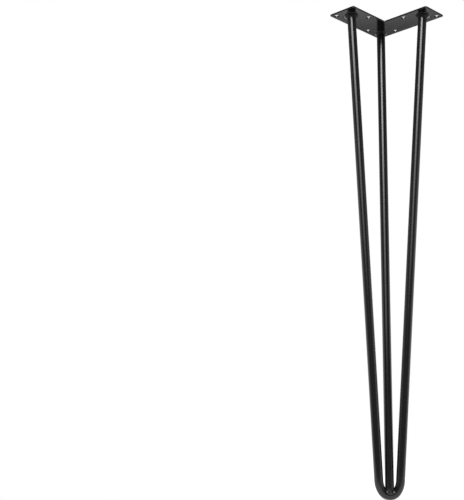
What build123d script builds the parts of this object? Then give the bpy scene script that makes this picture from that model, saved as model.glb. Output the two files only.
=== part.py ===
from build123d import *

import os
from math import asin, atan2, cos, degrees, hypot, radians, sin

# Hairpin table leg: an L-shaped mounting plate on three round steel bars, all welded.
# Two of the bars are the arms of one bar bent into a hairpin, whose bend is the foot. The third is
# straight: it runs from the plate's corner into the throat of the bend.
#
# Millimetres, +Z up. The origin is on the plate's top face, straight above the foot, so the load
# from the floor runs up the Z axis. The plate's arms run along +X and +Y, and the leg is its own
# mirror image about the upright plane through its diagonal, X = Y.

# Whole leg
LEG_HEIGHT = 711.0  # floor to the underside of the table top
FOOT_INSET = 35.0  # middle of the foot, from each outer edge of the plate

# Mounting plate
PLATE_THICKNESS = 2.5
ARM_LENGTH = 120.0  # along an outer edge, from the outer corner to the tip
ARM_WIDTH = 45.0
OUTLINE_RADIUS = 1.5  # corners of the outline
EDGE_CHAMFER = 0.4  # burr taken off the sheared outline, on both faces

# Screw holes, in a zigzag along each arm: outer edge, inner edge, outer edge
HOLE_DIAMETER = 7.5
HOLE_EDGE_DISTANCE = 7.0  # hole's centre from the edges that it lies near
HOLE_PITCH = 38.0  # from one hole to the next, along the arm

# Rods, where their axes meet the plate's underside
ROD_DIAMETER = 12.7
ARM_ROD_TIP_DISTANCE = 20.0  # hairpin's ends: from the tip of the arm
ARM_ROD_EDGE_DISTANCE = 25.0  # hairpin's ends: from the arm's outer edge
CORNER_ROD_INSET = 15.0  # straight rod: from both outer edges

# Bend at the foot, along the rod's centreline
BEND_RADIUS = 12.5  # bottom of the bend
BEND_ANGLE = 55.0  # degrees of that radius to each side of the lowest point
SHOULDER_RADIUS = 28.0  # where the bend opens out into the arms
SADDLE_DEPTH = 1.0  # how far the straight rod's end is coped over the bend

# Welds
ARM_WELD_LEG = 4.5  # hairpin's ends: along the plate and along the rod
CORNER_WELD_LEG = 2.5  # straight rod: the same
FOOT_WELD_LEG = 4.0  # up the straight rod and down the bend, from the bead's ridge
FOOT_WELD_PROUD = 1.5  # how far the ridge stands out past the rods' faces
FOOT_WELD_PENETRATION = 1.0  # how far the bead's lower edge is sunk into the bend

rod_radius = ROD_DIAMETER / 2
underside = -PLATE_THICKNESS
overrun = ROD_DIAMETER  # spare length above the underside, trimmed off flush
diagonal_normal = Vector(1, -1, 0).normalized()  # square to the leg's mirror plane


def under_plate(from_y_edge, from_x_edge):
    """Point on the plate's underside, measured from its two outer edges."""
    return Vector(from_y_edge - FOOT_INSET, from_x_edge - FOOT_INSET, underside)


def below_plate(solid):
    """The part of a solid that lies below the plate's underside."""
    return split(solid, bisect_by=Plane.XY.offset(underside), keep=Keep.BOTTOM)


# Where the rods' axes meet the underside, and the lowest point of the hairpin's centreline
arm_rod_along = ARM_LENGTH - ARM_ROD_TIP_DISTANCE
left_top = under_plate(arm_rod_along, ARM_ROD_EDGE_DISTANCE)
right_top = under_plate(ARM_ROD_EDGE_DISTANCE, arm_rod_along)
corner_top = under_plate(CORNER_ROD_INSET, CORNER_ROD_INSET)
bend_bottom = Vector(0, 0, rod_radius - LEG_HEIGHT)
corner_axis = (corner_top - bend_bottom).normalized()

# The hairpin's plane, with u across the hairpin and v up it. Each arm is tangent to its shoulder's
# arc, and so leans out by the splay angle.
hairpin_rise = (left_top + right_top) / 2 - bend_bottom
hairpin_plane = Plane(
    origin=bend_bottom, x_dir=diagonal_normal, z_dir=diagonal_normal.cross(hairpin_rise)
)
end_u = (left_top - right_top).length / 2
end_v = hairpin_rise.length
shoulder_u = (BEND_RADIUS - SHOULDER_RADIUS) * sin(radians(BEND_ANGLE))
shoulder_v = BEND_RADIUS + (SHOULDER_RADIUS - BEND_RADIUS) * cos(radians(BEND_ANGLE))
shoulder_to_end = hypot(end_u - shoulder_u, end_v - shoulder_v)
splay = atan2(end_u - shoulder_u, end_v - shoulder_v) - asin(SHOULDER_RADIUS / shoulder_to_end)


def make_mounting_plate():
    """The flat L, with its sheared edges eased, and its holes."""
    corner = (Align.MIN, Align.MIN)
    outline = Rectangle(ARM_LENGTH, ARM_WIDTH, align=corner)
    outline += Rectangle(ARM_WIDTH, ARM_LENGTH, align=corner)
    outline = fillet(outline.vertices(), OUTLINE_RADIUS)
    plate = Pos(-FOOT_INSET, -FOOT_INSET) * extrude(outline, amount=-PLATE_THICKNESS)

    rims = plate.faces().sort_by(Axis.Z)
    outline_edges = rims[0].outer_wire().edges() + rims[-1].outer_wire().edges()
    plate = chamfer(outline_edges, min(EDGE_CHAMFER, PLATE_THICKNESS / 4))

    outer_row = HOLE_EDGE_DISTANCE
    inner_row = ARM_WIDTH - HOLE_EDGE_DISTANCE
    for steps, row in enumerate((outer_row, inner_row, outer_row)):
        along = ARM_LENGTH - HOLE_EDGE_DISTANCE - steps * HOLE_PITCH
        for centre in (under_plate(along, row), under_plate(row, along)):
            plate -= Pos(centre) * Cylinder(HOLE_DIAMETER / 2, 4 * PLATE_THICKNESS)
    return plate


def make_hairpin_rod():
    """One bar: arm, shoulder, bend, shoulder, arm, with both ends cut flush to the plate."""
    lean = degrees(splay)
    shoulder_angle = 90 - lean - BEND_ANGLE
    tangent_u = shoulder_u + SHOULDER_RADIUS * cos(splay)
    tangent_v = shoulder_v - SHOULDER_RADIUS * sin(splay)
    top_u = end_u + overrun * sin(splay)
    top_v = end_v + overrun * cos(splay)
    runs = [
        Line((top_u, top_v), (tangent_u, tangent_v)),
        CenterArc((shoulder_u, shoulder_v), SHOULDER_RADIUS, -lean, -shoulder_angle),
        CenterArc((0, BEND_RADIUS), BEND_RADIUS, BEND_ANGLE - 90, -2 * BEND_ANGLE),
        CenterArc((-shoulder_u, shoulder_v), SHOULDER_RADIUS, -90 - BEND_ANGLE, -shoulder_angle),
        Line((-tangent_u, tangent_v), (-top_u, top_v)),
    ]
    path = Wire([hairpin_plane * run for run in runs])
    section = Plane(origin=path @ 0, z_dir=path % 0) * Circle(rod_radius)
    return below_plate(sweep(section, path=path))


def make_corner_rod(hairpin_rod):
    """The straight bar, cut flush to the plate and coped to sit on the bend."""
    foot_end = bend_bottom + corner_axis * (rod_radius - SADDLE_DEPTH)
    length = (corner_top - foot_end).length + overrun
    standing = (Align.CENTER, Align.CENTER, Align.MIN)
    rod = Plane(origin=foot_end, z_dir=corner_axis) * Cylinder(rod_radius, length, align=standing)
    return below_plate(rod) - hairpin_rod


def make_plate_weld(rod_top, rod_axis, rod, leg):
    """Fillet bead round a rod's top: a cone that runs on past the plate and is trimmed there."""
    bead = Cone(bottom_radius=rod_radius, top_radius=rod_radius + 2 * leg, height=2 * leg)
    return below_plate(Plane(origin=rod_top, z_dir=rod_axis) * bead) - rod


def make_foot_weld(kept_side, hairpin_rod, corner_rod):
    """Bead on one face of the throat: half of a ridged ring round the straight rod's end."""
    ridge_height = rod_radius
    top = (rod_radius, ridge_height + FOOT_WELD_LEG)
    ridge = (rod_radius + FOOT_WELD_PROUD, ridge_height)
    bottom = (rod_radius - FOOT_WELD_PENETRATION, ridge_height - FOOT_WELD_LEG)
    section = make_face(Plane.XZ * Polyline((0, bottom[1]), bottom, ridge, top, (0, top[1]), close=True))
    ring = Plane(origin=bend_bottom, z_dir=corner_axis) * revolve(section, Axis.Z)
    return split(ring, bisect_by=hairpin_plane, keep=kept_side) - hairpin_rod - corner_rod


def make_leg():
    """Every piece of the leg by name, in place."""
    hairpin_rod = make_hairpin_rod()
    corner_rod = make_corner_rod(hairpin_rod)
    up = hairpin_rise.normalized()
    left_axis = up * cos(splay) + diagonal_normal * sin(splay)
    right_axis = up * cos(splay) - diagonal_normal * sin(splay)
    return {
        "mounting_plate": make_mounting_plate(),
        "hairpin_rod": hairpin_rod,
        "corner_rod": corner_rod,
        "corner_weld": make_plate_weld(corner_top, corner_axis, corner_rod, CORNER_WELD_LEG),
        "left_arm_weld": make_plate_weld(left_top, left_axis, hairpin_rod, ARM_WELD_LEG),
        "right_arm_weld": make_plate_weld(right_top, right_axis, hairpin_rod, ARM_WELD_LEG),
        "inner_foot_weld": make_foot_weld(Keep.BOTTOM, hairpin_rod, corner_rod),
        "outer_foot_weld": make_foot_weld(Keep.TOP, hairpin_rod, corner_rod),
    }


os.makedirs("parts", exist_ok=True)
for name, piece in make_leg().items():
    export_step(piece, f"parts/{name}.step")
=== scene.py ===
from math import asin, atan2, ceil, cos, hypot, pi, radians, sin

import bmesh
import bpy
from mathutils import Euler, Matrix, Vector


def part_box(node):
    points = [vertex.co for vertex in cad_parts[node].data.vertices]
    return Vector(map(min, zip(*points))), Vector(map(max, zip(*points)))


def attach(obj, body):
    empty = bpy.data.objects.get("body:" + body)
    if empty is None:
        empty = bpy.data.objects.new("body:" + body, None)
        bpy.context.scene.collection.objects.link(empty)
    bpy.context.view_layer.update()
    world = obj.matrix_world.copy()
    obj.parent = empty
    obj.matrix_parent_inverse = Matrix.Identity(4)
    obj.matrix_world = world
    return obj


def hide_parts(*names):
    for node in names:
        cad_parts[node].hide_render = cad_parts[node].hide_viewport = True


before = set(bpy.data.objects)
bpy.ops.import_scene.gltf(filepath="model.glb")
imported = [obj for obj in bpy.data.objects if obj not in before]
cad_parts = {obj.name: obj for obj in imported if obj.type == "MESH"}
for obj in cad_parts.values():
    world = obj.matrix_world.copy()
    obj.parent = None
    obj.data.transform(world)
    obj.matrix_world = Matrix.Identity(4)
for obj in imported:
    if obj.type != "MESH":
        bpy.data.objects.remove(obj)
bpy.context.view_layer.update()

# Hairpin table leg in its own frame: the coated plate, rods and weld beads that take the place of the
# plain solids, in the light of the photograph and seen by its camera. Lengths are in metres.
MM = 0.001

# The leg's sizes, as in the part's source. The plate's place, length and thickness are the frame's.
LEG_HEIGHT = 711 * MM
ROD_RADIUS = 6.35 * MM
ARM_WIDTH = 45 * MM
OUTLINE_RADIUS = 1.5 * MM
HOLE_RADIUS = 3.75 * MM
HOLE_EDGE_DISTANCE = 7 * MM
HOLE_PITCH = 38 * MM
ARM_ROD_TIP_DISTANCE = 20 * MM
ARM_ROD_EDGE_DISTANCE = 25 * MM
CORNER_ROD_INSET = 15 * MM
BEND_RADIUS = 12.5 * MM
BEND_ANGLE = radians(55)
SHOULDER_RADIUS = 28 * MM
SADDLE_DEPTH = 1 * MM
ARM_WELD_LEG = 4.5 * MM
CORNER_WELD_LEG = 2.5 * MM
FOOT_WELD_LEG = 4 * MM
FOOT_WELD_PROUD = 1.5 * MM
FOOT_WELD_PENETRATION = 1 * MM

# What the coat and the welding torch add to the plain solids
EDGE_ROUNDING = 0.25 * MM  # coated edge of the plate and of its holes
WELD_CROWN = 0.35 * MM  # how far a bead's face is domed
WELD_SINK = 0.4 * MM  # how far a bead's hidden sides lie inside the rod and the plate
WELD_SLANT = 0.707  # run, and rise, of a unit length along or square to a bead's 45 degree face

# Ripples that the torch leaves across a bead
RIPPLE_HEIGHT = 0.22 * MM
RIPPLE_PITCH = 1.7 * MM
RIPPLE_BOW = 0.45  # how far they curve back at the bead's edges, as a share of the pitch
RIPPLE_LEAN = 0.6  # below 1, they are steep on one side

# Unevenness of a hand-held torch, as waves round a bead: their number, their height, and how far the
# bead's seed shifts them
TORCH_WAVES = ((2, 1.0, 1.0), (3, 0.7, 2.3), (5, 0.5, 4.1))
LEG_UNEVENNESS = 0.07  # of a plate bead's leg, as a share of it
PITCH_UNEVENNESS = 0.05  # of the ripples' places round a plate bead, in radians
CREST_UNEVENNESS = 0.10  # of a foot bead's crest, as a share of it
PITCH_SEED = 5  # added to a bead's seed, so that its ripples' places don't follow its leg
TOE_SEED = 2  # the same for a foot bead's upper edge

# Where the beads at the plate run out onto it, as thin smooth skirts: to which side, as an angle in
# the plate's plane, how far, as a share of the bead's leg, and how narrow the skirt's lobe is
RUN_OUTS = {
    "left_arm_weld": (radians(-107), 1.1, 3.0),
    "right_arm_weld": (radians(167), 1.05, 2.5),
    "corner_weld": (radians(-138), 1.3, 0.4),
}
RUN_OUT_LEAST = 0.1  # share of the longest run-out that is left all round
RUN_OUT_SINK = 0.02 * MM  # how far its thin edge dips into the plate or the bend

# The foot's beads run out onto the bend all round, and get flatter towards the right arm
FOOT_REACH = radians(84)  # to each side of the middle, where a bead's ends are inside the bent rod
FOOT_RUN_OUT = 1 * MM  # how much lower they reach than their solids
FOOT_SUNK = 0.7 * MM  # how far their lower edges are sunk into the bend
FOOT_BLEND = 3 * MM  # width of the hollow between bead and bend
FOOT_BLEND_FADE = 5  # the higher, the nearer to the bead's lower edge the hollow ends
FOOT_TOE_WAVE = 0.4  # how far the upper edge wanders, as a share of the bead's leg
FOOT_CREST = 0.8 * MM  # how far they stand out, less than their solids' sharp ridge
FOOT_CREST_SAG = 1.8  # above 1, the crest lies below the middle of the bead
FOOT_CREST_POWER = 1.4  # above 1, the crest is narrower than a half sine
FOOT_TAPER = 0.8  # share of the crest that is lost at the bead's right end
SKIRT_THICKNESS = 1.2 * MM  # a bead's face that is this close to the bend's has the smooth coat
FACE_TOLERANCE = 0.001 * MM  # for finding the bend's face

# Mesh steps
ROD_SIDES = 64
ROD_STEP = 10 * MM  # along a straight run
BEND_STEP = radians(3)
OUTLINE_CORNER_STEPS = 8
HOLE_SIDES = 48
EDGE_ROUNDING_STEPS = 3
WELD_STEPS_PER_RIPPLE = 8
WELD_FACE_STEPS = 12
RUN_OUT_STEPS = 8
FOOT_FACE_STEPS = 24
MERGE_DISTANCE = 0.001 * MM  # corners of the plate's mesh that are this close become one

# Shading: edges that turn by more than these angles stay sharp
ROD_SHARP_ANGLE = radians(40)
PLATE_SHARP_ANGLE = radians(50)
WELD_SHARP_ANGLE = radians(60)
FLAT_FACE_WEIGHT = 100  # how far the plate's large faces outweigh its narrow rounded edges

# Powder coats: darkest and lightest tone, least and most roughness, height of the orange peel, and
# specular level
COATS = {
    "plate": ((0.006, 0.006, 0.0065), (0.010, 0.010, 0.0108), 0.11, 0.15, 0.003 * MM, 0.5),
    "rod": ((0.004, 0.004, 0.0044), (0.007, 0.007, 0.0076), 0.19, 0.24, 0.002 * MM, 0.5),
    "plate_weld": ((0.004, 0.004, 0.0044), (0.007, 0.007, 0.0076), 0.34, 0.44, 0.004 * MM, 0.2),
    "foot_weld": ((0.005, 0.005, 0.0055), (0.008, 0.008, 0.0088), 0.44, 0.54, 0.004 * MM, 0.42),
}
COAT_IOR = 1.5
SMOOTH_COAT_INDEX = 1  # of the plate's coat among a bead's materials

# Noises in the coats: scale per metre, octaves of detail, and strength of each finer octave
TONE_PATCHES = (38, 3, 0.5)
HAZE = (160, 4, 0.6)  # patches of rougher coat
ORANGE_PEEL = (420, 1, 0.5)
GRAIN = (2600, 2, 0.5)
GRAIN_SHARE = 0.12  # height of the grain, as a share of the orange peel's
NOISE_RANGE = (0.3, 0.7)  # part of a noise's range that is spread from least to most

# Camera of the photograph
IMAGE_HEIGHT = 500  # pixels, the longer side
FOCAL_LENGTH_PIXELS = 895.9
SENSOR_SIZE = 36  # millimetres, the longer side too
CAMERA_PLACE = Vector((1.0587, 0.7952, -0.5784))
CAMERA_ANGLES = (99.654, -0.885, 136.678)  # degrees: tilt, roll and heading

# Studio. Forward runs level from the camera's side of the leg towards the backdrop.
FORWARD = Vector((-0.8, -0.6, 0.0))
WHITE = (1, 1, 1, 1)
FLOOR_BEHIND = 1.54
FLOOR_IN_FRONT = 0.10
FLOOR_HALF_WIDTH = 2.0
FLOOR_COLOR = (0.80, 0.80, 0.80, 1.0)
FLOOR_GLOW = 0.80  # lifts the floor to white for the camera and in reflections
BACKDROP_BRIGHTNESS = 1.5
BACKDROP_EDGE = (-0.80, 0.10)  # where dim turns to white, as the cosine from forward
BACKDROP_TOP = (0.06, 0.34)  # where white fades out again, as the sine of the height angle
BACKDROP_FOOT = (-0.16, -0.06)  # the same below, at the room's own floor
ROOM_DIM = 0.15  # share of the brightness left on the camera's side
ABOVE_DIM = 0.12  # share left above the backdrop
ROOM_FLOOR = 0.24  # brightness below the pale floor's level, beyond its edges

# Tall softbox in front of the leg, a little to the left of the camera. Bands: bottom and top above
# the floor, and brightness.
SOFTBOX_AZIMUTH = radians(31.5)
SOFTBOX_DISTANCE = 1.05
SOFTBOX_WIDTH = 0.75
SOFTBOX_BANDS = ((0.38, 0.60, 1.9), (0.60, 0.80, 3.2), (0.80, 0.95, 6.5), (0.95, 1.80, 11.0))

outer_corner, plate_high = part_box("mounting_plate")
arm_length = plate_high.x - outer_corner.x
plate_thickness = plate_high.z - outer_corner.z
underside = outer_corner.z
floor_z = plate_high.z - LEG_HEIGHT


def under_plate(from_y_edge, from_x_edge):
    """Point on the plate's underside, measured from its two outer edges."""
    return outer_corner + Vector((from_y_edge, from_x_edge, 0))


# Where the rods' axes meet the underside, and the lowest point of the hairpin's centreline
arm_rod_along = arm_length - ARM_ROD_TIP_DISTANCE
left_top = under_plate(arm_rod_along, ARM_ROD_EDGE_DISTANCE)
right_top = under_plate(ARM_ROD_EDGE_DISTANCE, arm_rod_along)
corner_top = under_plate(CORNER_ROD_INSET, CORNER_ROD_INSET)
bend_bottom = Vector((0, 0, floor_z + ROD_RADIUS))
corner_axis = (corner_top - bend_bottom).normalized()

# The hairpin's plane, with u across the hairpin and v up it. Each arm is tangent to its shoulder's
# arc, and so leans out by the splay angle.
across = (left_top - right_top).normalized()
hairpin_rise = (left_top + right_top) / 2 - bend_bottom
up_hairpin = hairpin_rise.normalized()
outward = across.cross(up_hairpin)
end_u = (left_top - right_top).length / 2
end_v = hairpin_rise.length
shoulder_u = (BEND_RADIUS - SHOULDER_RADIUS) * sin(BEND_ANGLE)
shoulder_v = BEND_RADIUS + (SHOULDER_RADIUS - BEND_RADIUS) * cos(BEND_ANGLE)
shoulder_to_end = hypot(end_u - shoulder_u, end_v - shoulder_v)
splay = atan2(end_u - shoulder_u, end_v - shoulder_v) - asin(SHOULDER_RADIUS / shoulder_to_end)


def in_hairpin(u, v):
    """Point of the hairpin's plane."""
    return bend_bottom + across * u + up_hairpin * v


def steps_between(start, end, step):
    """Even steps from start to end, the end left out."""
    count = max(1, ceil(abs(end - start) / step))
    return [start + (end - start) * i / count for i in range(count)]


def hairpin_centreline():
    """Points and directions of the bent rod's centreline, from its left end to its right end."""
    half = []
    for turn in steps_between(0, BEND_ANGLE, BEND_STEP):
        place = (BEND_RADIUS * sin(turn), BEND_RADIUS * (1 - cos(turn)))
        half.append((place, turn))
    arm_turn = pi / 2 - splay
    for turn in steps_between(BEND_ANGLE, arm_turn, BEND_STEP):
        place = (shoulder_u + SHOULDER_RADIUS * sin(turn), shoulder_v - SHOULDER_RADIUS * cos(turn))
        half.append((place, turn))
    start_u = shoulder_u + SHOULDER_RADIUS * cos(splay)
    start_v = shoulder_v - SHOULDER_RADIUS * sin(splay)
    arm = hypot(end_u - start_u, end_v - start_v)
    for run in steps_between(0, arm, ROD_STEP) + [arm]:
        place = (start_u + run * sin(splay), start_v + run * cos(splay))
        half.append((place, arm_turn))

    stations = []
    for (u, v), turn in reversed(half):
        stations.append((in_hairpin(u, v), -across * cos(turn) - up_hairpin * sin(turn)))
    for (u, v), turn in half[1:]:
        stations.append((in_hairpin(-u, v), -across * cos(turn) + up_hairpin * sin(turn)))
    return stations


def add_object(name, data):
    """Object with this data, in the scene."""
    added = bpy.data.objects.new(name, data)
    bpy.context.scene.collection.objects.link(added)
    return added


def new_piece(name, bm, node, coat, sharp_angle):
    """Piece of the leg from a bmesh, in place of a CAD node. Its shading is smooth between its
    sharp edges."""
    bmesh.ops.recalc_face_normals(bm, faces=bm.faces)
    mesh = bpy.data.meshes.new(name)
    bm.to_mesh(mesh)
    bm.free()
    piece = add_object(name, mesh)
    mesh.materials.append(coats[coat])
    mesh.shade_smooth()
    mesh.set_sharp_from_angle(angle=sharp_angle)
    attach(piece, "root")
    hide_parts(node)
    return piece


def skin(bm, loops, is_ring):
    """Faces between neighbouring loops of vertices. A ring closes on itself, and anything else gets
    a cap at each end."""
    pairs = list(zip(loops, loops[1:]))
    if is_ring:
        pairs.append((loops[-1], loops[0]))
    for near, far in pairs:
        count = len(near)
        for i in range(count):
            j = (i + 1) % count
            bm.faces.new((near[i], near[j], far[j], far[i]))
    if not is_ring:
        bm.faces.new(loops[0])
        bm.faces.new(loops[-1])


def make_rod(name, stations, node, level_ends):
    """Round bar along a centreline. Its ends at the plate are cut level with the underside."""
    bm = bmesh.new()
    loops = []
    for index, (centre, direction) in enumerate(stations):
        side = outward.cross(direction).normalized()
        other = direction.cross(side)
        loop = []
        for i in range(ROD_SIDES):
            angle = 2 * pi * i / ROD_SIDES
            place = centre + (side * cos(angle) + other * sin(angle)) * ROD_RADIUS
            if index in level_ends:
                place += direction * ((underside - place.z) / direction.z)
            loop.append(bm.verts.new(place))
        loops.append(loop)
    skin(bm, loops, is_ring=False)
    new_piece(name, bm, node, "rod", ROD_SHARP_ANGLE)


def make_rods():
    """The bent rod, and the straight one that stands in its throat."""
    bent = hairpin_centreline()
    make_rod("bent_rod", bent, "hairpin_rod", level_ends=(0, len(bent) - 1))

    foot_end = bend_bottom + corner_axis * (ROD_RADIUS - SADDLE_DEPTH)
    length = (corner_top - foot_end).length
    runs = steps_between(0, length, ROD_STEP) + [length]
    straight = [(foot_end + corner_axis * run, corner_axis) for run in runs]
    make_rod("straight_rod", straight, "corner_rod", level_ends=(len(straight) - 1,))


def plate_outline():
    """The L's outline, measured from its outer corner, with its square corners rounded."""
    a = arm_length
    w = ARM_WIDTH
    corners = [Vector(corner) for corner in ((0, 0), (a, 0), (a, w), (w, w), (w, a), (0, a))]
    points = []
    for i, here in enumerate(corners):
        into = (corners[i - 1] - here).normalized()
        out = (corners[(i + 1) % len(corners)] - here).normalized()
        centre = here + (into + out) * OUTLINE_RADIUS
        for k in range(OUTLINE_CORNER_STEPS + 1):
            angle = k / OUTLINE_CORNER_STEPS * pi / 2
            points.append(centre - (out * cos(angle) + into * sin(angle)) * OUTLINE_RADIUS)
    return points


def hole_outline(x, y):
    """A hole's outline round its centre."""
    angles = [2 * pi * i / HOLE_SIDES for i in range(HOLE_SIDES)]
    return [(x + HOLE_RADIUS * cos(angle), y + HOLE_RADIUS * sin(angle)) for angle in angles]


def add_loop(curve, points):
    """Closed straight-sided spline in the curve."""
    spline = curve.splines.new("POLY")
    spline.points.add(len(points) - 1)
    for point, place in zip(spline.points, points):
        point.co = (place[0], place[1], 0, 1)
    spline.use_cyclic_u = True


def make_plate():
    """The flat L with its six holes, every edge rounded by the coat."""
    curve = bpy.data.curves.new("plate_outline", "CURVE")
    curve.dimensions = "2D"
    curve.fill_mode = "BOTH"
    add_loop(curve, plate_outline())
    rows = (HOLE_EDGE_DISTANCE, ARM_WIDTH - HOLE_EDGE_DISTANCE, HOLE_EDGE_DISTANCE)
    for step, row in enumerate(rows):
        along = arm_length - HOLE_EDGE_DISTANCE - step * HOLE_PITCH
        add_loop(curve, hole_outline(along, row))
        add_loop(curve, hole_outline(row, along))
    curve.extrude = plate_thickness / 2 - EDGE_ROUNDING
    curve.bevel_depth = EDGE_ROUNDING
    curve.bevel_resolution = EDGE_ROUNDING_STEPS
    curve.offset = -EDGE_ROUNDING

    pattern = bpy.data.objects.new("plate_outline", curve)
    bm = bmesh.new()
    bm.from_mesh(bpy.data.meshes.new_from_object(pattern))
    bpy.data.objects.remove(pattern)
    bpy.data.curves.remove(curve)
    bmesh.ops.remove_doubles(bm, verts=bm.verts, dist=MERGE_DISTANCE)
    middle = outer_corner + Vector((0, 0, plate_thickness / 2))
    bmesh.ops.translate(bm, verts=bm.verts, vec=middle)
    piece = new_piece("coated_plate", bm, "mounting_plate", "plate", PLATE_SHARP_ANGLE)
    flat = piece.modifiers.new("flat_faces", "WEIGHTED_NORMAL")
    flat.keep_sharp = True
    flat.weight = FLAT_FACE_WEIGHT


def wobble(turn, seed):
    """Slow unevenness of a hand-held torch, between -1 and 1."""
    waves = [height * sin(number * turn + shift * seed) for number, height, shift in TORCH_WAVES]
    return sum(waves) / sum(height for _, height, _ in TORCH_WAVES)


def ripple(distance, share):
    """Height of the torch's ripples: crescents across the bead, steep on one side."""
    bow = (2 * share - 1) ** 2 * RIPPLE_BOW
    phase = (distance / RIPPLE_PITCH + bow) % 1
    return RIPPLE_HEIGHT * sin(pi * phase ** RIPPLE_LEAN) * sin(pi * share)


def spoke_axes(axis):
    """Two directions square to an axis. Turns round it start at the first, towards the second."""
    side = axis.orthogonal().normalized()
    return side, axis.cross(side)


def bead_loops(bm, origin, axis, turns, section):
    """Loops of vertices across a bead, one for each turn round its axis. section gives a loop's
    points, as radius and height, from the turn and the spoke that points that way."""
    side, other = spoke_axes(axis)
    loops = []
    for turn in turns:
        spoke = side * cos(turn) + other * sin(turn)
        places = [origin + spoke * radius + axis * height for radius, height in section(turn, spoke)]
        loops.append([bm.verts.new(place) for place in places])
    return loops


def new_bead(name, bm, node, coat):
    """Piece of the leg from a bead's bmesh. Its second material is the plate's smooth coat."""
    piece = new_piece(name, bm, node, coat, WELD_SHARP_ANGLE)
    piece.data.materials.append(coats["plate"])


def make_plate_weld(name, top, axis, full_leg, node, seed):
    """Rippled fillet bead in the corner between a rod's top and the plate."""
    mean_radius = ROD_RADIUS + full_leg / 2
    ripples = round(2 * pi * mean_radius / RIPPLE_PITCH)
    count = ripples * WELD_STEPS_PER_RIPPLE
    turns = [2 * pi * i / count for i in range(count)]
    run_out_angle, longest, narrowness = RUN_OUTS[node]
    run_out_side = Vector((cos(run_out_angle), sin(run_out_angle), 0))

    def section(turn, spoke):
        """The bead's section: inner side, face, run-out and outer side."""
        leg = full_leg * (1 + LEG_UNEVENNESS * wobble(turn, seed))
        ripple_turn = turn + PITCH_UNEVENNESS * wobble(turn, seed + PITCH_SEED)
        distance = ripple_turn / (2 * pi) * ripples * RIPPLE_PITCH
        lobe = max(0, spoke.dot(run_out_side)) ** narrowness
        run_out = leg * longest * (RUN_OUT_LEAST + (1 - RUN_OUT_LEAST) * lobe)

        def plate_height(radius):
            """Height of the plate's underside, along the axis."""
            return -radius * spoke.z / axis.z

        inner = ROD_RADIUS - WELD_SINK
        points = [(inner, plate_height(inner) + WELD_SINK), (inner, plate_height(inner) - leg)]
        face_share = 1 - run_out / leg * WELD_SLANT
        for k in range(WELD_FACE_STEPS + 1):
            share = face_share * k / WELD_FACE_STEPS
            radius = ROD_RADIUS + leg * share
            height = plate_height(radius) - leg * (1 - share)
            proud = WELD_CROWN * 4 * share * (1 - share) + ripple(distance, share)
            points.append((radius + proud * WELD_SLANT, height - proud * WELD_SLANT))

        # The run-out is a curve that leaves the bead's face in line with it and ends flat on the plate
        start_radius, start_height = points[-1]
        start_depth = start_height - plate_height(start_radius)
        toe = ROD_RADIUS + leg
        outer = toe + run_out
        for k in range(1, RUN_OUT_STEPS + 1):
            run = k / RUN_OUT_STEPS
            radius = (1 - run) ** 2 * start_radius + 2 * run * (1 - run) * toe + run ** 2 * outer
            depth = (1 - run) ** 2 * start_depth + run ** 2 * RUN_OUT_SINK
            points.append((radius, plate_height(radius) + depth))
        points.append((outer, plate_height(outer) + WELD_SINK))
        return points

    bm = bmesh.new()
    loops = bead_loops(bm, top, axis, turns, section)
    skin(bm, loops, is_ring=True)
    for loop in loops:
        run_out_points = loop[-RUN_OUT_STEPS - 2:-1]
        for near, far in zip(run_out_points, run_out_points[1:]):
            for face in bm.edges.get((near, far)).link_faces:
                face.material_index = SMOOTH_COAT_INDEX
    new_bead(name, bm, node, "plate_weld")


def depth_in_bend(point):
    """How deep a point lies inside the bend's round bar."""
    offset = point - in_hairpin(0, BEND_RADIUS)
    from_centreline = hypot(offset.dot(across), offset.dot(up_hairpin)) - BEND_RADIUS
    return ROD_RADIUS - hypot(from_centreline, offset.dot(outward))


def bend_face(start, spoke):
    """How far along a spoke the bend's face is from a point inside the bend; 0 from outside it."""
    if depth_in_bend(start) <= 0:
        return 0
    near = 0
    far = 2 * BEND_RADIUS
    while far - near > FACE_TOLERANCE:
        halfway = (near + far) / 2
        if depth_in_bend(start + spoke * halfway) > 0:
            near = halfway
        else:
            far = halfway
    return near


def smooth_max(first, second, width):
    """The larger of two lengths, with a rounded change from one to the other."""
    closeness = max(0, width - abs(first - second)) / width
    return max(first, second) + closeness ** 2 * width / 4


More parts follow.
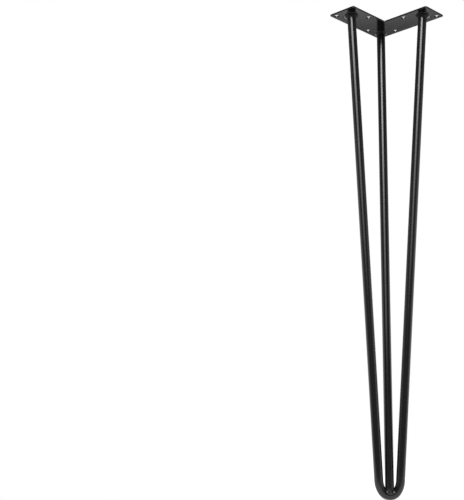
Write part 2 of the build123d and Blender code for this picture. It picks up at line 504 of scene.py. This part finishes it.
def make_foot_weld(name, facing, node, seed):
    """Rippled bead on one face of the throat, round the straight rod's end."""
    mean_radius = ROD_RADIUS + FOOT_WELD_PROUD / 2
    ripples = round(2 * FOOT_REACH * mean_radius / RIPPLE_PITCH)
    count = ripples * WELD_STEPS_PER_RIPPLE
    origin = bend_bottom + corner_axis * ROD_RADIUS
    side, other = spoke_axes(corner_axis)
    middle = atan2(facing.dot(other), facing.dot(side))
    turns = [middle - FOOT_REACH + 2 * FOOT_REACH * i / count for i in range(count + 1)]
    core = ROD_RADIUS - FOOT_WELD_PENETRATION - WELD_SINK
    lower_leg = FOOT_WELD_LEG + FOOT_RUN_OUT

    def section(turn, spoke):
        """The bead's section: its hidden core, and its face from the top down."""
        distance = (turn - middle + FOOT_REACH) * mean_radius
        taper = 1 - FOOT_TAPER * max(0, -spoke.dot(across)) ** 2
        proud = FOOT_CREST * taper * (1 + CREST_UNEVENNESS * wobble(2 * turn, seed))
        upper_leg = FOOT_WELD_LEG * (1 - FOOT_TOE_WAVE * (1 + wobble(turn, seed + TOE_SEED)) / 2)
        points = [(core, -lower_leg), (core, upper_leg)]
        for k in range(FOOT_FACE_STEPS + 1):
            share = k / FOOT_FACE_STEPS
            height = upper_leg - (upper_leg + lower_leg) * share
            base = ROD_RADIUS - FOOT_SUNK * share ** 2
            crest = sin(pi * share ** FOOT_CREST_SAG) ** FOOT_CREST_POWER
            bead = base + proud * crest + ripple(distance, share)
            bend = bend_face(origin + corner_axis * height, spoke)
            blend = max(FOOT_BLEND * (1 - share ** FOOT_BLEND_FADE), FACE_TOLERANCE)
            run_out = smooth_max(bead, bend, blend) - RUN_OUT_SINK - bead
            points.append((bead + min(max(0, run_out), FOOT_BLEND), height))
        return points

    bm = bmesh.new()
    loops = bead_loops(bm, origin, corner_axis, turns, section)
    skin(bm, loops, is_ring=False)
    for face in bm.faces:
        if depth_in_bend(face.calc_center_median()) > -SKIRT_THICKNESS:
            face.material_index = SMOOTH_COAT_INDEX
    new_bead(name, bm, node, "foot_weld")


def make_welds():
    """The five beads."""
    left_axis = up_hairpin * cos(splay) + across * sin(splay)
    right_axis = up_hairpin * cos(splay) - across * sin(splay)
    make_plate_weld("left_bead", left_top, left_axis, ARM_WELD_LEG, "left_arm_weld", seed=1.0)
    make_plate_weld("right_bead", right_top, right_axis, ARM_WELD_LEG, "right_arm_weld", seed=2.2)
    make_plate_weld("corner_bead", corner_top, corner_axis, CORNER_WELD_LEG, "corner_weld", seed=3.1)
    make_foot_weld("inner_foot_bead", -outward, "inner_foot_weld", seed=0.6)
    make_foot_weld("outer_foot_bead", outward, "outer_foot_weld", seed=1.7)


def set_inputs(tree, node, inputs):
    """Give each input of a node, by name or number, its value or a link to another node's output."""
    for key, value in inputs.items():
        if isinstance(value, bpy.types.NodeSocket):
            tree.links.new(value, node.inputs[key])
        else:
            node.inputs[key].default_value = value


def add_node(tree, kind, inputs):
    """New shader node with its inputs set."""
    node = tree.nodes.new("ShaderNode" + kind)
    set_inputs(tree, node, inputs)
    return node


def calculate(tree, operation, first, second):
    """Result of an operation on two values, each a number or a node's output."""
    node = add_node(tree, "Math", {0: first, 1: second})
    node.operation = operation
    return node.outputs["Value"]


def add_noise(tree, place, scale, detail, roughness):
    """Noise in the leg's own space."""
    inputs = {"Vector": place, "Scale": scale, "Detail": detail, "Roughness": roughness}
    return add_node(tree, "TexNoise", inputs).outputs["Fac"]


def spread(tree, noise, low, high):
    """A noise's middle range, spread from low to high."""
    noise_low, noise_high = NOISE_RANGE
    spreader = add_node(tree, "MapRange", {
        "Value": noise,
        "From Min": noise_low,
        "From Max": noise_high,
        "To Min": low,
        "To Max": high,
    })
    return spreader.outputs["Result"]


def powder_coat(name, dark, light, smoothest, roughest, peel_height, specular):
    """Semi-gloss black powder coat: orange peel, fine grain, and slow changes of tone and gloss."""
    material = bpy.data.materials.new(name)
    material.use_nodes = True
    tree = material.node_tree
    place = tree.nodes.new("ShaderNodeTexCoord").outputs["Object"]

    tone = tree.nodes.new("ShaderNodeMix")
    tone.data_type = "RGBA"
    light_share = spread(tree, add_noise(tree, place, *TONE_PATCHES), 0, 1)
    set_inputs(tree, tone, {"Factor": light_share, "A": (*dark, 1), "B": (*light, 1)})

    peel = add_node(tree, "Bump", {
        "Height": add_noise(tree, place, *ORANGE_PEEL),
        "Distance": peel_height,
    })
    grain = add_node(tree, "Bump", {
        "Height": add_noise(tree, place, *GRAIN),
        "Distance": peel_height * GRAIN_SHARE,
        "Normal": peel.outputs["Normal"],
    })
    set_inputs(tree, tree.nodes["Principled BSDF"], {
        "Base Color": tone.outputs["Result"],
        "Roughness": spread(tree, add_noise(tree, place, *HAZE), smoothest, roughest),
        "IOR": COAT_IOR,
        "Specular IOR Level": specular,
        "Normal": grain.outputs["Normal"],
    })
    return material


def make_floor():
    """Pale floor that starts in front of the leg and ends behind it. It keeps the leg's shadow."""
    ahead = FORWARD * FLOOR_BEHIND
    back = -FORWARD * FLOOR_IN_FRONT
    aside = FORWARD.cross(Vector((0, 0, 1))) * FLOOR_HALF_WIDTH
    level = Vector((0, 0, floor_z))
    corners = [level + offset for offset in (back - aside, back + aside, ahead + aside, ahead - aside)]
    mesh = bpy.data.meshes.new("floor")
    mesh.from_pydata(corners, [], [(0, 1, 2, 3)])
    floor = add_object("floor", mesh)

    material = bpy.data.materials.new("pale_floor")
    material.use_nodes = True
    tree = material.node_tree
    tree.nodes.clear()
    rays = tree.nodes.new("ShaderNodeLightPath")
    seen = calculate(tree, "MAXIMUM", rays.outputs["Is Camera Ray"], rays.outputs["Is Glossy Ray"])
    paint = add_node(tree, "BsdfDiffuse", {"Color": FLOOR_COLOR})
    glow = add_node(tree, "Emission", {"Strength": calculate(tree, "MULTIPLY", seen, FLOOR_GLOW)})
    both = add_node(tree, "AddShader", {0: paint.outputs["BSDF"], 1: glow.outputs["Emission"]})
    add_node(tree, "OutputMaterial", {"Surface": both.outputs["Shader"]})
    mesh.materials.append(material)


def make_world():
    """White backdrop beyond the leg and a dim room on the camera's side. The camera sees white."""
    world = bpy.data.worlds.new("studio")
    bpy.context.scene.world = world
    world.use_nodes = True
    tree = world.node_tree
    view = tree.nodes.new("ShaderNodeTexCoord").outputs["Generated"]
    for_camera = tree.nodes.new("ShaderNodeLightPath").outputs["Is Camera Ray"]

    def towards(direction, dim_end, bright_end, dim):
        """Share of the brightness, from dim to 1 with the cosine from a direction."""
        cosine = add_node(tree, "VectorMath", {0: view, 1: direction})
        cosine.operation = "DOT_PRODUCT"
        rise = add_node(tree, "MapRange", {
            "Value": cosine.outputs["Value"],
            "From Min": dim_end,
            "From Max": bright_end,
            "To Min": dim,
        })
        rise.interpolation_type = "SMOOTHSTEP"
        return rise.outputs["Result"]

    behind = towards(FORWARD, *BACKDROP_EDGE, ROOM_DIM)
    top_start, top_end = BACKDROP_TOP
    below_top = towards((0, 0, -1), -top_end, -top_start, ABOVE_DIM)
    walls = calculate(tree, "MULTIPLY", behind, below_top)
    walls = calculate(tree, "MULTIPLY", walls, BACKDROP_BRIGHTNESS)

    above_floor = towards((0, 0, 1), *BACKDROP_FOOT, 0)
    walls = calculate(tree, "MULTIPLY", walls, above_floor)
    below_floor = calculate(tree, "SUBTRACT", 1, above_floor)
    below_floor = calculate(tree, "MULTIPLY", below_floor, ROOM_FLOOR)
    room = calculate(tree, "ADD", walls, below_floor)

    not_for_camera = calculate(tree, "SUBTRACT", 1, for_camera)
    room = calculate(tree, "MULTIPLY", room, not_for_camera)
    brightness = calculate(tree, "ADD", room, for_camera)
    set_inputs(tree, tree.nodes["Background"], {"Color": WHITE, "Strength": brightness})


def make_softbox():
    """Upright soft light, made of bands that get brighter towards the top."""
    towards_light = Vector((cos(SOFTBOX_AZIMUTH), sin(SOFTBOX_AZIMUTH), 0))
    for bottom, top, radiance in SOFTBOX_BANDS:
        light = bpy.data.lights.new("softbox", "AREA")
        light.shape = "RECTANGLE"
        light.size = SOFTBOX_WIDTH
        light.size_y = top - bottom
        light.energy = radiance * pi * light.size * light.size_y
        softbox = add_object("softbox", light)
        height = Vector((0, 0, floor_z + (bottom + top) / 2))
        softbox.location = towards_light * SOFTBOX_DISTANCE + height
        softbox.rotation_euler = (-towards_light).to_track_quat("-Z", "Y").to_euler()
        softbox.visible_camera = False


def make_camera():
    """The photograph's camera."""
    data = bpy.data.cameras.new("camera")
    data.sensor_width = SENSOR_SIZE
    data.lens = FOCAL_LENGTH_PIXELS / IMAGE_HEIGHT * SENSOR_SIZE
    camera = add_object("camera", data)
    camera.location = CAMERA_PLACE
    camera.rotation_euler = Euler([radians(angle) for angle in CAMERA_ANGLES])
    bpy.context.scene.camera = camera


coats = {name: powder_coat(name, *look) for name, look in COATS.items()}
make_plate()
make_rods()
make_welds()
make_floor()
make_world()
make_softbox()
make_camera()
bpy.context.scene.view_settings.view_transform = "Standard"
